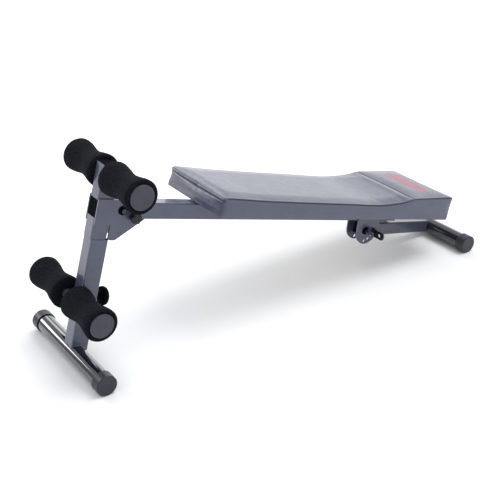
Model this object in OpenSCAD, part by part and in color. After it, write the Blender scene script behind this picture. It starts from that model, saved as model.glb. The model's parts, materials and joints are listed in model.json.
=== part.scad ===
// Folding decline sit-up bench.
// Bench frame used by every sub-part: X runs along the beam from the front post to the rear foot,
// Y runs to the left, Z is normal to the beam, with Z = 0 on the beam's top face and X = 0 on the
// post's centreline. in_place() tilts that frame so that both stabilizers stand on the floor.

/* [Layout] */
// Distance along the beam between the front and the rear stabilizer
foot_spacing = 1230; // [1180:10:1280]
// Drop from the beam's top face to the front stabilizer's centre
front_drop = 415; // [390:5:430]
// Position of the fold bolt along the beam
fold_x = 52; // [51:1:56]
// Position of the rear leg's pivot along the beam
leg_pivot_x = 924; // [915:1:935]
// Drop from the beam's top face to the rear leg's pivot
leg_pivot_drop = 75; // [73:1:77]
// Drop from the beam's top face to the rear stabilizer's centre
rear_drop = 61; // [59:1:63]

/* [Tubes] */
// Width of the post and of the stub below it
post_w = 40; // [40:0.5:41]
// Depth of the post and of the stub, along the beam
post_depth = 44; // [42:1:45]
// Width of the lower upright
upright_w = 42; // [42:0.5:43]
// Depth of the lower upright, along the beam
upright_depth = 48; // [47:1:50]
// Width of the beam and of the rear leg's square tube
beam_w = 39; // [38:0.5:39]
// Height of the beam
beam_h = 44; // [42:1:45]
// Wall of the rectangular and round frame tubes
wall = 1.5; // [1.2:0.1:1.8]
// Outer diameter of the stabilizer tubes
stabilizer_d = 50; // [48:1:51]
// Overall length of the front stabilizer
front_stabilizer_l = 383; // [360:1:420]
// Overall length of the rear stabilizer
rear_stabilizer_l = 368; // [350:1:400]
// Outer diameter of the roller bars
bar_d = 25; // [24:0.5:26]

/* [Rollers] */
// Largest diameter of a foam roller
foam_d = 89; // [84:1:90]
// Diameter at the foam roller's waist
foam_waist_d = 71; // [64:1:80]
// Length of a foam roller
foam_l = 140; // [130:1:150]
// Height of the upper roller bar above the beam's top face
upper_bar_z = 64; // [60:1:66]
// Drop of the lower roller bar below the beam's top face
lower_bar_drop = 262; // [258:1:266]

/* [Pad] */
// Front end of the pad along the beam
pad_x0 = 272; // [265:1:300]
// Rear end of the pad along the beam
pad_x1 = 1156; // [1140:1:1160]
// Seam between the back pad and the head pad
seam_x = 980; // [970:1:990]
// Width of the pad
pad_w = 266; // [250:2:280]
// Height of the back pad's upper face above the beam
pad_top = 51; // [48:1:54]
// Height of the head pad's upper face above the beam
head_top = 75; // [70:1:78]

/* [Hidden] */
$fn = 64;

// Clearance round a turning shaft, and play of a shaft in a plain hole
running = 0.05;
play = 0.1;

// Attitude of the beam, and of the rear leg, which rises a little towards its foot
beam_tilt = atan((front_drop - rear_drop) / foot_spacing);
leg_run = foot_spacing - leg_pivot_x;
leg_climb = leg_pivot_drop - rear_drop;
leg_rise = atan(leg_climb / leg_run);
leg_l = norm([leg_run, leg_climb]);

// Foot caps, with a narrow flat that meets the floor
cap_r = stabilizer_d / 2 + 3;
foot_flat = 0.6;
foot_height = cap_r - foot_flat;
cap_sleeve_l = 30;
cap_end = 3;
cap_chamfer = 2;

// Plates
plate_t = 4;
pad_plate_t = 4;
plate_y0 = post_w / 2;
plate_y1 = plate_y0 + plate_t;

// Beam, between the gusset plates at the front
beam_x0 = 31;
beam_x1 = 1045;
beam_mid_z = -beam_h / 2;
plug_flange = 2;
plug_depth = 11;
plug_play = 0.2;
plug_wall = 2.5;
corner_r = 3.5;

// Post, stub and lower upright
post_x0 = -20;
post_x1 = post_x0 + post_depth;
post_mid_x = (post_x0 + post_x1) / 2;
post_z0 = 5;
post_z1 = 94;
upright_x0 = post_x0 + 2;
upright_x1 = upright_x0 + upright_depth;
upright_mid_x = (upright_x0 + upright_x1) / 2;
stub_z1 = -42;
joint_z = -99;
joint_gap = 1.2;
tenon_z0 = -172;
tenon_depth = post_depth - 8;
tenon_w = upright_w - 2 * wall - 0.4;
stub_screw_z = [-118, -154];
button_r = 6.5;
button_l = 2.5;
button_crown = 1.2;
gap_cap_x1 = -14;
gap_cap_inset = 0.5;
gap_cap_tongue = 8;

// Fold bolt, and the lock pin behind it
bolt_r = 5;
bolt_z = -19.5;
bush_r = 8;
washer_r = 12;
washer_t = 2.5;
bolt_head_r = 7;
bolt_head_l = 6;
nut_r = 9;
nut_l = 8;
thread_out = 12;
pin_x = 85;
pin_z = -34;
pin_r = 5;
pin_play = 0.3;
barrel_r = 11;
barrel_l = 8;
pin_head_l = 13;
pin_head_r = 15;
pin_head_skin = 2;
pin_head_boss = 1.5;
pin_head_y = -plate_y1 - barrel_l - 0.5;

// Gusset plate: corners behind the upright as [x, z, radius], its top, and its notch round the stub
gusset_corners = [[84, 4, 4], [118, -10, 9], [120, -32, 8], [70, -75, 4], [43, -93, 6]];
gusset_top = 8;
gusset_foot_z = -99;
notch_z = -59;
notch_gap = 1.2;

// Roller bars
upper_bar_x = 8;
lower_bar_x = upright_x0 - 1 - bar_d / 2;
foam_y0 = 24.5;
foam_y1 = foam_y0 + foam_l;
bar_half = foam_y1 - 4;
sleeve_r = bar_d / 2 + 2;
sleeve_end = 6;
cradle_half = 18;
disc_r = 32;
disc_y0 = foam_y1 - 2;
disc_y1 = foam_y1 + 4;
disc_chamfer = 1.5;
disc_boss_r = bar_d / 2 + 3;
disc_spigot_l = 26;
foam_hub = 18;

// Clamp knob behind the upright
stud_r = 5;
knob_r = 25;
knob_x0 = upright_x1;
knob_neck_l = 19;
knob_neck_r = 9;
knob_foot_r = 11;
knob_gap = 0.4;
knob_head_l = 19;
// Head's outline from the neck to the crown, as [inset from its full radius, height on the neck]
knob_head = [[12, 0], [1, 2], [0, 4], [0, 10], [2, 14], [8, 18]];

// Rear sector plates: round foot, top edge, and the ring of stop holes
sector_r = 42.5;
sector_centre = [8, -1];
sector_front = -40;
sector_rear = 53.5;
sector_lap = 14;
sector_hole_r = 5.3;
sector_ring_r = 35;
leg_stops = [0, 27, 53, 80];
leg_front = 10;
leg_plug_depth = 8;
hitch_collar_r = 8;
hitch_collar_l = 8;

// Flat pull handle on the hitch pin, with a hole near its end
handle_t = 4;
handle_h = 22;
handle_drop = 7;
handle_l = 40;
handle_hole_r = 5.5;
handle_hole_y = -54;
handle_corner_r = 8;
handle_y0 = -plate_y1 - hitch_collar_l;

// Pad
board_t = 12;
board_z0 = pad_plate_t;
board_inset = 3;
board_rear_inset = 17;
pad_heel = 11;
pad_plate_l = 190;
pad_plate_w = 45;
pad_plate_x = [330, 640, 1010];
screw_y = 78;
screw_r = 3;
screw_hole_r = 3.3;
screw_head_r = 5.7;
screw_head_l = 4;
screw_washer_r = 7;
screw_washer_t = 1.2;
screw_short = 3;

// Overall length in the floor frame, which centres the part on its origin
front_reach = floor_x(lower_bar_x, -lower_bar_drop) - foam_d / 2;
rear_reach = floor_x(foot_spacing, -rear_drop) + cap_r;
mid_x = (front_reach + rear_reach) / 2;
lift_z = foot_height + front_drop * cos(beam_tilt);

function floor_x(x, z) = x * cos(beam_tilt) + z * sin(beam_tilt);

// Places children from the bench frame on the floor
module in_place()
    translate([-mid_x, 0, lift_z]) rotate([0, beam_tilt, 0]) children();

// Box from its low corner to its high corner
module span(low, high)
    translate(low) cube(high - low);

// Cylinder along Y from y0 to y1 at [x, z]
module along_y(x, z, y0, y1, r)
    translate([x, y0, z]) rotate([-90, 0, 0]) cylinder(h = y1 - y0, r = r);

// Outline in X and Z, as thick as y0 to y1
module slab(y0, y1)
    translate([0, y1, 0]) rotate([90, 0, 0]) linear_extrude(y1 - y0) children();

// Rectangle with rounded corners, centred
module rounded_rect(width, height, r) {
    half_w = width / 2 - r;
    half_h = height / 2 - r;
    square([width, 2 * half_h], center = true);
    square([2 * half_w, height], center = true);
    for (sx = [-1, 1], sy = [-1, 1])
        translate([sx * half_w, sy * half_h]) circle(r, $fn = 32);
}

// Section of a rectangular tube
module tube_section(width, height)
    difference() {
        rounded_rect(width, height, corner_r);
        rounded_rect(width - 2 * wall, height - 2 * wall, corner_r - wall);
    }

// Rectangular tube along X, with its centre at z
module tube_x(x0, x1, z, width, height)
    translate([x0, 0, z]) rotate([90, 0, 90]) linear_extrude(x1 - x0) tube_section(width, height);

// Rectangular tube along Z, with its centre at x
module tube_z(x, z0, z1, depth, width)
    translate([x, 0, z0]) linear_extrude(z1 - z0) tube_section(depth, width);

// Push-in plug for a rectangular tube, from its outer face in the direction +Z
module tube_plug(width, height) {
    inner_w = width - 2 * wall - plug_play;
    inner_h = height - 2 * wall - plug_play;
    translate([0, 0, -plug_flange]) linear_extrude(plug_flange) rounded_rect(width, height, corner_r);
    linear_extrude(plug_depth) difference() {
        rounded_rect(inner_w, inner_h, corner_r - wall);
        rounded_rect(inner_w - 2 * plug_wall, inner_h - 2 * plug_wall, 1);
    }
}

// Mirrors children across the bench's middle plane when side is -1
module on_side(side)
    scale([1, side, 1]) children();

// ---- Beam and pad ----

module main_beam()
    color("dimgray") in_place() difference() {
        tube_x(beam_x0, beam_x1, beam_mid_z, beam_w, beam_h);
        along_y(fold_x, bolt_z, -beam_w, beam_w, bush_r);
        along_y(pin_x, pin_z, -beam_w, 0, pin_r + pin_play);
    }

module beam_front_plug()
    color("black") in_place()
        translate([beam_x0, 0, beam_mid_z]) rotate([90, 0, 90]) tube_plug(beam_w, beam_h);

module beam_rear_plug()
    color("black") in_place()
        translate([beam_x1, 0, beam_mid_z]) rotate([90, 0, -90]) tube_plug(beam_w, beam_h);

// Steel bush welded across a tube, in which a bolt turns
module bush(x, z)
    difference() {
        along_y(x, z, -beam_w / 2, beam_w / 2, bush_r);
        along_y(x, z, -beam_w, beam_w, bolt_r + running);
    }

module fold_bush()
    color("silver") in_place() bush(fold_x, bolt_z);

// Cross plate welded on the beam, which carries the pad
module pad_plate(x)
    color("dimgray") in_place() difference() {
        span([x - pad_plate_w / 2, -pad_plate_l / 2, 0], [x + pad_plate_w / 2, pad_plate_l / 2, pad_plate_t]);
        for (side = [-1, 1])
            translate([x, side * screw_y, -1]) cylinder(h = pad_plate_t + 2, r = screw_hole_r);
    }

module front_pad_plate() pad_plate(pad_plate_x[0]);
module middle_pad_plate() pad_plate(pad_plate_x[1]);
module rear_pad_plate() pad_plate(pad_plate_x[2]);

module pad_board()
    color("burlywood") in_place() difference() {
        span([pad_x0 + board_inset, -pad_w / 2 + board_inset, board_z0],
             [pad_x1 - board_rear_inset, pad_w / 2 - board_inset, board_z0 + board_t]);
        for (x = pad_plate_x, side = [-1, 1])
            translate([x, side * screw_y, board_z0 - 1]) cylinder(h = board_t, r = screw_hole_r);
    }

// Back pad: slightly crowned at the front, dipping before it rises to the seam
module back_cushion()
    color("darkslategray") in_place() slab(-pad_w / 2, pad_w / 2) polygon([
        [pad_x0, board_z0 + board_t], [pad_x0, pad_top], [pad_x0 + 30, pad_top + 4],
        [pad_x0 + 150, pad_top], [seam_x - 135, pad_top - 3], [seam_x - 50, pad_top + 4],
        [seam_x, head_top - 5], [seam_x, board_z0 + board_t]
    ]);

// Head pad: a raised flat block behind the seam, which wraps round the board's rear end
module head_cushion()
    color("darkslategray") in_place() slab(-pad_w / 2, pad_w / 2) polygon([
        [seam_x, board_z0 + board_t], [seam_x, head_top - 5], [seam_x + 60, head_top],
        [pad_x1 - 12, head_top + 4], [pad_x1, head_top - 4], [pad_x1, board_z0 + pad_heel],
        [pad_x1 - pad_heel, board_z0], [pad_x1 - board_rear_inset, board_z0],
        [pad_x1 - board_rear_inset, board_z0 + board_t]
    ]);

// Hexagon screws from below, through the plates into the board
module pad_screws()
    color("silver") in_place() for (x = pad_plate_x, side = [-1, 1])
        translate([x, side * screw_y, 0]) {
            translate([0, 0, -screw_washer_t]) cylinder(h = screw_washer_t, r = screw_washer_r);
            translate([0, 0, -screw_washer_t - screw_head_l])
                cylinder(h = screw_head_l, r = screw_head_r, $fn = 6);
            cylinder(h = board_z0 + board_t - screw_short, r = screw_r);
        }

// ---- Rear sector plates and the leg's pivot ----

// Outline in X and Z: straight where it laps the beam, round below the pivot
module sector_outline()
    translate([leg_pivot_x, -leg_pivot_drop]) difference() {
        hull() {
            translate(sector_centre) circle(sector_r, $fn = 96);
            translate([sector_front, leg_pivot_drop - beam_h])
                square([sector_rear - sector_front, sector_lap]);
        }
        circle(bolt_r + play);
        for (stop = leg_stops)
            rotate(leg_rise - stop) translate([sector_ring_r, 0]) circle(sector_hole_r);
    }

// Sector plate on one side, with the weld that closes the gap to the beam's side
module sector_plate(side)
    color("dimgray") in_place() on_side(side) {
        slab(plate_y0, plate_y1) sector_outline();
        slab(beam_w / 2, plate_y0) translate([leg_pivot_x + sector_front, -beam_h + corner_r])
            square([sector_rear - sector_front, sector_lap - corner_r]);
    }

module right_sector_plate() sector_plate(-1);
module left_sector_plate() sector_plate(1);

// Bolt across the bench: hexagon head on the right, thread out of the left side
module cross_bolt(x, z, y_head) {
    along_y(x, z, y_head, plate_y1 + thread_out, bolt_r);
    translate([x, y_head, z]) rotate([90, 0, 0]) cylinder(h = bolt_head_l, r = bolt_head_r, $fn = 6);
}

module hex_nut(x, z, y0)
    difference() {
        translate([x, y0, z]) rotate([-90, 0, 0]) cylinder(h = nut_l, r = nut_r, $fn = 6);
        along_y(x, z, y0 - 1, y0 + nut_l + 1, bolt_r);
    }

module washer_pair(x, z)
    for (side = [-1, 1]) on_side(side) difference() {
        along_y(x, z, plate_y1, plate_y1 + washer_t, washer_r);
        along_y(x, z, plate_y1 - 1, plate_y1 + washer_t + 1, bolt_r + play);
    }

module leg_pivot_bolt()
    color("dimgray") in_place() cross_bolt(leg_pivot_x, -leg_pivot_drop, -plate_y1 - washer_t);

module leg_pivot_nut()
    color("dimgray") in_place() hex_nut(leg_pivot_x, -leg_pivot_drop, plate_y1 + washer_t);

module leg_pivot_washers()
    color("black") in_place() washer_pair(leg_pivot_x, -leg_pivot_drop);

// ---- Front frame ----

module upper_post()
    color("dimgray") in_place() difference() {
        tube_z(post_mid_x, post_z0, post_z1, post_depth, post_w);
        along_y(upper_bar_x, upper_bar_z, -post_w, post_w, bar_d / 2);
    }

module post_top_plug()
    color("black") in_place() translate([post_mid_x, 0, post_z1]) rotate([180, 0, 0])
        tube_plug(post_depth, post_w);

// Gusset plate: carries the post and the stub, and straddles the beam; gap is the slit beside the stub
module gusset_outline(gap)
    difference() {
        hull() {
            translate([post_x0, notch_z + 1]) square([post_depth, gusset_top - notch_z - 1]);
            for (corner = gusset_corners)
                translate([corner.x, corner.y]) circle(corner.z, $fn = 32);
            translate([post_x1, gusset_foot_z]) square([4, 4]);
        }
        translate([post_x0 - 1, gusset_foot_z - 10])
            square([post_depth + 1 + gap, notch_z - gusset_foot_z + 10]);
        translate([post_x0 - 1, gusset_foot_z - 10])
            square([upright_x1 - post_x0 + 2, joint_z - gusset_foot_z + 10 + notch_gap]);
        translate([fold_x, bolt_z]) circle(bolt_r + play);
    }

module gusset_plate(side, gap)
    color("dimgray") in_place() on_side(side) slab(plate_y0, plate_y1) gusset_outline(gap);

module right_gusset_plate()
    difference() {
        gusset_plate(-1, notch_gap);
        in_place() along_y(pin_x, pin_z, -plate_y1 - 1, 0, pin_r + running);
    }

module left_gusset_plate() gusset_plate(1, joint_gap);

module fold_bolt()
    color("dimgray") in_place() cross_bolt(fold_x, bolt_z, -plate_y1 - washer_t);

module fold_nut()
    color("dimgray") in_place() hex_nut(fold_x, bolt_z, plate_y1 + washer_t);

module fold_washers()
    color("black") in_place() washer_pair(fold_x, bolt_z);

// Guide barrel of the fold lock pin, welded to the right gusset plate
module fold_pin_barrel()
    color("dimgray") in_place() difference() {
        translate([pin_x, -plate_y1, pin_z]) rotate([90, 0, 0]) cylinder(h = barrel_l, r = barrel_r, $fn = 6);
        along_y(pin_x, pin_z, -plate_y1 - barrel_l - 1, 0, pin_r + running);
    }

// Moulded cap that closes the front of the gap between the gusset plates
module gap_cap()
    color("black") in_place() {
        span([post_x0 + gap_cap_inset, -plate_y0, stub_z1], [gap_cap_x1, plate_y0, post_z0]);
        span([post_x0 + wall + gap_cap_inset, -plate_y0 + wall + play, post_z0],
             [gap_cap_x1, plate_y0 - wall - play, post_z0 + gap_cap_tongue]);
    }

// Stub between the gusset plates, with a slimmer tenon that plugs into the lower upright
module upright_stub()
    color("dimgray") in_place() difference() {
        union() {
            translate([post_mid_x, 0, joint_z + joint_gap]) linear_extrude(stub_z1 - joint_z - joint_gap)
                rounded_rect(post_depth, post_w, corner_r);
            translate([post_mid_x, 0, tenon_z0]) linear_extrude(stub_z1 - tenon_z0)
                rounded_rect(tenon_depth, tenon_w, corner_r - wall);
        }
        translate([post_mid_x, 0, tenon_z0 - 1]) linear_extrude(stub_z1 - tenon_z0 + 2)
            rounded_rect(tenon_depth - 2 * wall, tenon_w - 2 * wall, 1);
        translate([post_mid_x, 0, joint_z + 4]) linear_extrude(stub_z1 - joint_z)
            rounded_rect(post_depth - 2 * wall, post_w - 2 * wall, corner_r - wall);
    }

module lower_upright()
    color("dimgray") in_place() difference() {
        tube_z(upright_mid_x, -front_drop, joint_z, upright_depth, upright_w);
        along_y(0, -front_drop, -upright_w, upright_w, stabilizer_d / 2);
        stud_hole(running);
    }

// Room for the clamp stud, from the front to the back of the upright
module stud_hole(clearance)
    translate([lower_bar_x, 0, -lower_bar_drop]) rotate([0, 90, 0])
        cylinder(h = 3 * upright_depth, r = stud_r + clearance);

// Button screws in the upright's rear face that hold the tenon
module stub_screws()
    color("silver") in_place() for (z = stub_screw_z)
        translate([upright_x1, 0, z]) rotate([0, 90, 0]) {
            cylinder(h = button_l, r = button_r);
            translate([0, 0, button_l])
                cylinder(h = button_crown, r1 = button_r, r2 = button_r - 2, $fn = 48);
        }

module stabilizer(x, z, length) {
    half = length / 2 - cap_end;
    difference() {
        along_y(x, z, -half, half, stabilizer_d / 2);
        along_y(x, z, -half - 1, half + 1, stabilizer_d / 2 - wall);
    }
}

// Cup-shaped foot cap over one end of a stabilizer, with its flat on the floor
module foot_cap(x, z, length, side)
    on_side(side) difference() {
        union() {
            along_y(x, z, length / 2 - cap_sleeve_l, length / 2 - cap_chamfer, cap_r);
            translate([x, length / 2 - cap_chamfer, z]) rotate([-90, 0, 0])
                cylinder(h = cap_chamfer, r1 = cap_r, r2 = cap_r - cap_chamfer, $fn = 96);
        }
        along_y(x, z, 0, length / 2 - cap_end, stabilizer_d / 2);
        translate([x, 0, z]) rotate([0, -beam_tilt, 0])
            span([-cap_r, 0, -cap_r - 1], [cap_r, length, -foot_height]);
    }

module front_stabilizer()
    color("black") in_place() stabilizer(0, -front_drop, front_stabilizer_l);

module front_right_foot_cap()
    color("dimgray") in_place() foot_cap(0, -front_drop, front_stabilizer_l, -1);

module front_left_foot_cap()
    color("dimgray") in_place() foot_cap(0, -front_drop, front_stabilizer_l, 1);

// ---- Roller bars and rollers ----

module roller_bar(x, z)
    difference() {
        along_y(x, z, -bar_half, bar_half, bar_d / 2);
        along_y(x, z, -bar_half - 1, bar_half + 1, bar_d / 2 - wall);
    }

module upper_roller_bar()
    color("dimgray") in_place() roller_bar(upper_bar_x, upper_bar_z);

module lower_roller_bar()
    color("dimgray") in_place() difference() {
        roller_bar(lower_bar_x, -lower_bar_drop);
        stud_hole(running);
    }

// Moulded cradle that seats the lower bar on the upright's front face
module lower_bar_cradle()
    color("black") in_place() difference() {
        span([lower_bar_x + 2, -upright_w / 2, -lower_bar_drop - cradle_half],
             [upright_x0, upright_w / 2, -lower_bar_drop + cradle_half]);
        along_y(lower_bar_x, -lower_bar_drop, -upright_w, upright_w, bar_d / 2);
        stud_hole(running);
    }

// Disc on the bar's end, which keeps the foam on
module end_disc(x, z, side)
    color("gray") in_place() on_side(side) {
        along_y(x, z, bar_half, disc_y0, disc_boss_r);
        along_y(x, z, disc_y0, disc_y1 - disc_chamfer, disc_r);
        translate([x, disc_y1 - disc_chamfer, z]) rotate([-90, 0, 0])
            cylinder(h = disc_chamfer, r1 = disc_r, r2 = disc_r - disc_chamfer, $fn = 96);
        along_y(x, z, bar_half - disc_spigot_l, bar_half, bar_d / 2 - wall);
    }

module upper_right_end_disc() end_disc(upper_bar_x, upper_bar_z, -1);
module upper_left_end_disc() end_disc(upper_bar_x, upper_bar_z, 1);
module lower_right_end_disc() end_disc(lower_bar_x, -lower_bar_drop, -1);
module lower_left_end_disc() end_disc(lower_bar_x, -lower_bar_drop, 1);

// Foam radius at a fraction t of its length: full at both ends, slim at the waist
function foam_r(t) = foam_d / 2 - (foam_d - foam_waist_d) / 2 * pow(sin(180 * t), 2);

foam_steps = 20;
foam_round = 6;
foam_chamfer = 1.8;
foam_mouth = disc_r + 1.5;
foam_floor = disc_y0 - 1;
foam_profile = concat(
    [[sleeve_r, foam_y0], [foam_d / 2 - foam_round, foam_y0],
     [foam_d / 2 - foam_chamfer, foam_y0 + foam_chamfer]],
    [for (i = [1:foam_steps - 1]) [foam_r(i / foam_steps), foam_y0 + foam_l * i / foam_steps]],
    [[foam_d / 2 - foam_chamfer, foam_y1 - foam_chamfer], [foam_d / 2 - foam_round, foam_y1],
     [foam_mouth, foam_y1], [foam_mouth, foam_floor], [foam_hub, foam_floor],
     [foam_hub, foam_y1 - sleeve_end], [sleeve_r, foam_y1 - sleeve_end]]
);

// Foam grip with a slim waist, recessed behind the end disc
module foam(x, z, side)
    color("black") in_place() on_side(side)
        translate([x, 0, z]) rotate([-90, 0, 0]) rotate_extrude($fn = 96) polygon(foam_profile);

module upper_right_foam() foam(upper_bar_x, upper_bar_z, -1);
module upper_left_foam() foam(upper_bar_x, upper_bar_z, 1);
module lower_right_foam() foam(lower_bar_x, -lower_bar_drop, -1);
module lower_left_foam() foam(lower_bar_x, -lower_bar_drop, 1);

// Plastic sleeve inside the foam, which turns on the bar
module sleeve(x, z, side)
    color("black") in_place() on_side(side) difference() {
        along_y(x, z, foam_y0, foam_y1 - sleeve_end, sleeve_r);
        along_y(x, z, 0, foam_y1, bar_d / 2 + running);
    }

module upper_right_sleeve() sleeve(upper_bar_x, upper_bar_z, -1);
module upper_left_sleeve() sleeve(upper_bar_x, upper_bar_z, 1);
module lower_right_sleeve() sleeve(lower_bar_x, -lower_bar_drop, -1);
module lower_left_sleeve() sleeve(lower_bar_x, -lower_bar_drop, 1);

// ---- Fold lock pin and clamp knob ----

// Plunger: its nose stops just short of the beam's side
module fold_pin()
    color("silver") in_place()
        along_y(pin_x, pin_z, pin_head_y - pin_head_l + pin_head_skin, -plate_y0, pin_r);

// Hexagon grip with a raised round face
module fold_pin_head()
    color("black") in_place() difference() {
        union() {
            translate([pin_x, pin_head_y, pin_z]) rotate([90, 0, 0])
                cylinder(h = pin_head_l, r = pin_head_r, $fn = 6);
            translate([pin_x, pin_head_y - pin_head_l, pin_z]) rotate([90, 0, 0])
                cylinder(h = pin_head_boss, r1 = pin_head_r - 4, r2 = pin_head_r - 6, $fn = 48);
        }
        along_y(pin_x, pin_z, pin_head_y - pin_head_l + pin_head_skin, 0, pin_r);
    }

module clamp_stud()
    color("silver") in_place() translate([lower_bar_x, 0, -lower_bar_drop]) rotate([0, 90, 0])
        cylinder(h = knob_x0 + knob_neck_l - lower_bar_x, r = stud_r);

// Mushroom knob: a slim neck against the upright, then a wide rounded head
module clamp_knob()
    color("black") in_place() translate([knob_x0, 0, -lower_bar_drop]) rotate([0, 90, 0])
        rotate_extrude($fn = 96) polygon(concat(
            [[stud_r, knob_gap], [knob_foot_r, knob_gap], [knob_neck_r, 4], [knob_neck_r, knob_neck_l - 4]],
            [for (step = knob_head) [knob_r - step.x, knob_neck_l + step.y]],
            [[0, knob_neck_l + knob_head_l], [0, knob_neck_l], [stud_r, knob_neck_l]]
        ));

// ---- Rear leg ----

// Places children from the leg's own frame, with X along the leg from its pivot
module on_leg()
    in_place() translate([leg_pivot_x, 0, -leg_pivot_drop]) rotate([0, -leg_rise, 0]) children();

module rear_leg()
    color("dimgray") on_leg() difference() {
        tube_x(-leg_front, leg_l, 0, beam_w, beam_w);
        along_y(leg_l, 0, -beam_w, beam_w, stabilizer_d / 2);
        along_y(0, 0, -beam_w, beam_w, bush_r);
        along_y(sector_ring_r, 0, -beam_w, beam_w, sector_hole_r);
    }

module rear_leg_plug()
    color("black") on_leg() difference() {
        translate([-leg_front, 0, 0]) rotate([90, 0, 90]) linear_extrude(leg_plug_depth)
            rounded_rect(beam_w - 2 * wall - plug_play, beam_w - 2 * wall - plug_play, corner_r - wall);
        along_y(0, 0, -beam_w, beam_w, bush_r);
    }

module leg_bush()
    color("silver") on_leg() bush(0, 0);

module rear_stabilizer()
    color("black") in_place() stabilizer(foot_spacing, -rear_drop, rear_stabilizer_l);

module rear_right_foot_cap()
    color("dimgray") in_place() foot_cap(foot_spacing, -rear_drop, rear_stabilizer_l, -1);

module rear_left_foot_cap()
    color("dimgray") in_place() foot_cap(foot_spacing, -rear_drop, rear_stabilizer_l, 1);

// Hitch pin in the right sector plate: its nose stops just short of the leg's side
module leg_pin()
    color("dimgray") on_leg() {
        along_y(sector_ring_r, 0, -plate_y1 - 1, -plate_y0, sector_hole_r - running);
        along_y(sector_ring_r, 0, -plate_y1 - hitch_collar_l, -plate_y1 - play, hitch_collar_r);
    }

// Flat handle welded on the hitch pin's collar, with a hole to pull it by
module pull_handle()
    color("dimgray") on_leg() translate([sector_ring_r - handle_t / 2, 0, 0]) difference() {
        rotate([90, 0, 90]) linear_extrude(handle_t) hull() {
            for (z = [-handle_h / 2 + handle_corner_r, handle_h / 2 - handle_corner_r])
                translate([handle_y0 - handle_l + handle_corner_r, z - handle_drop])
                    circle(handle_corner_r, $fn = 32);
            translate([handle_y0 - 4, -handle_drop - handle_h / 2]) square([4, handle_h]);
        }
        translate([-1, handle_hole_y, -handle_drop]) rotate([0, 90, 0])
            cylinder(h = handle_t + 2, r = handle_hole_r);
    }

main_beam();
beam_front_plug();
beam_rear_plug();
fold_bush();
front_pad_plate();
middle_pad_plate();
rear_pad_plate();
pad_board();
back_cushion();
head_cushion();
pad_screws();
right_sector_plate();
left_sector_plate();
leg_pivot_bolt();
leg_pivot_nut();
leg_pivot_washers();
upper_post();
post_top_plug();
right_gusset_plate();
left_gusset_plate();
fold_bolt();
fold_nut();
fold_washers();
fold_pin_barrel();
gap_cap();
upright_stub();
lower_upright();
stub_screws();
front_stabilizer();
front_right_foot_cap();
front_left_foot_cap();
upper_roller_bar();
lower_roller_bar();
lower_bar_cradle();
upper_right_end_disc();
upper_left_end_disc();
lower_right_end_disc();
lower_left_end_disc();
upper_right_foam();
upper_left_foam();
lower_right_foam();
lower_left_foam();
upper_right_sleeve();
upper_left_sleeve();
lower_right_sleeve();
lower_left_sleeve();
fold_pin();
fold_pin_head();
clamp_stud();
clamp_knob();
rear_leg();
rear_leg_plug();
leg_bush();
rear_stabilizer();
rear_right_foot_cap();
rear_left_foot_cap();
leg_pin();
pull_handle();
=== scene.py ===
import json
import math

import bmesh
import bpy
from mathutils import Matrix, Quaternion, Vector, kdtree, noise
from mathutils.bvhtree import BVHTree


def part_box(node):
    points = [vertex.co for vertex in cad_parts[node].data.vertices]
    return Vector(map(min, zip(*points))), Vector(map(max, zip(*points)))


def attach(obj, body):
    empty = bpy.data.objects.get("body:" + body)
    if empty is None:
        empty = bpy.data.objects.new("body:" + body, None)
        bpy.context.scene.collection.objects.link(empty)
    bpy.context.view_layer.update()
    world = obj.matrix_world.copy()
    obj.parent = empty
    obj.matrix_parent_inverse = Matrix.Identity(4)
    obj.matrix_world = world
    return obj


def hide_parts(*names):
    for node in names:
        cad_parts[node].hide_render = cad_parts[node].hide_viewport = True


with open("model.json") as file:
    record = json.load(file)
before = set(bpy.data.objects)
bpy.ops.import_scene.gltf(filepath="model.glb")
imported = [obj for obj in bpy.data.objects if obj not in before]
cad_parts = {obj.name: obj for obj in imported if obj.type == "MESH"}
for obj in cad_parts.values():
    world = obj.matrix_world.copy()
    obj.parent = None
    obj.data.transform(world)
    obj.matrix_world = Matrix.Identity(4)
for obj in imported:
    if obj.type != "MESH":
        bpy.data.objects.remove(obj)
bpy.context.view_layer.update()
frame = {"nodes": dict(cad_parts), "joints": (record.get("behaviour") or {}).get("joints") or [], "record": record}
nodes = frame["nodes"]
joints = {joint["name"]: joint for joint in frame["joints"]}

MM = 0.001

# ---- Bench frame: X along the beam, Y to the left, Z out of the beam's top face ----

ALONG = Vector(joints["clamp_turn"]["axis"]).normalized()
LEFT = Vector((0, 1, 0))
OUT = ALONG.cross(LEFT)
TILT = Matrix((ALONG, LEFT, OUT))


def tilted_box(name):
    """Lowest and highest corner of a CAD node along the bench's own axes, measured from the row's origin."""
    points = [TILT @ vertex.co for vertex in nodes[name].data.vertices]
    low = Vector(min(point[axis] for point in points) for axis in range(3))
    high = Vector(max(point[axis] for point in points) for axis in range(3))
    return low, high


POST_LOW, POST_HIGH = tilted_box("upper_post")
BENCH_ORIGIN = Vector(((POST_LOW.x + POST_HIGH.x) / 2, 0, tilted_box("main_beam")[1].z))


def bench_box(name):
    """Lowest and highest corner of a CAD node in the bench frame."""
    low, high = tilted_box(name)
    return low - BENCH_ORIGIN, high - BENCH_ORIGIN


def to_row(point):
    """Bench frame to row frame."""
    return TILT.transposed() @ (Vector(point) + BENCH_ORIGIN)


def to_bench(point):
    """Row frame to bench frame."""
    return TILT @ Vector(point) - BENCH_ORIGIN


# ---- Camera, light and floor ----

CAMERA_PLACE = Vector((-1.4144, -1.8788, 1.3682))
CAMERA_AIM = Vector((-0.0971, -0.0448, 0.1835))
CAMERA_ROLL = 0.0027
CAMERA_LENS = 66.13
CAMERA_SHIFT = (-0.0057, -0.0053)

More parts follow.
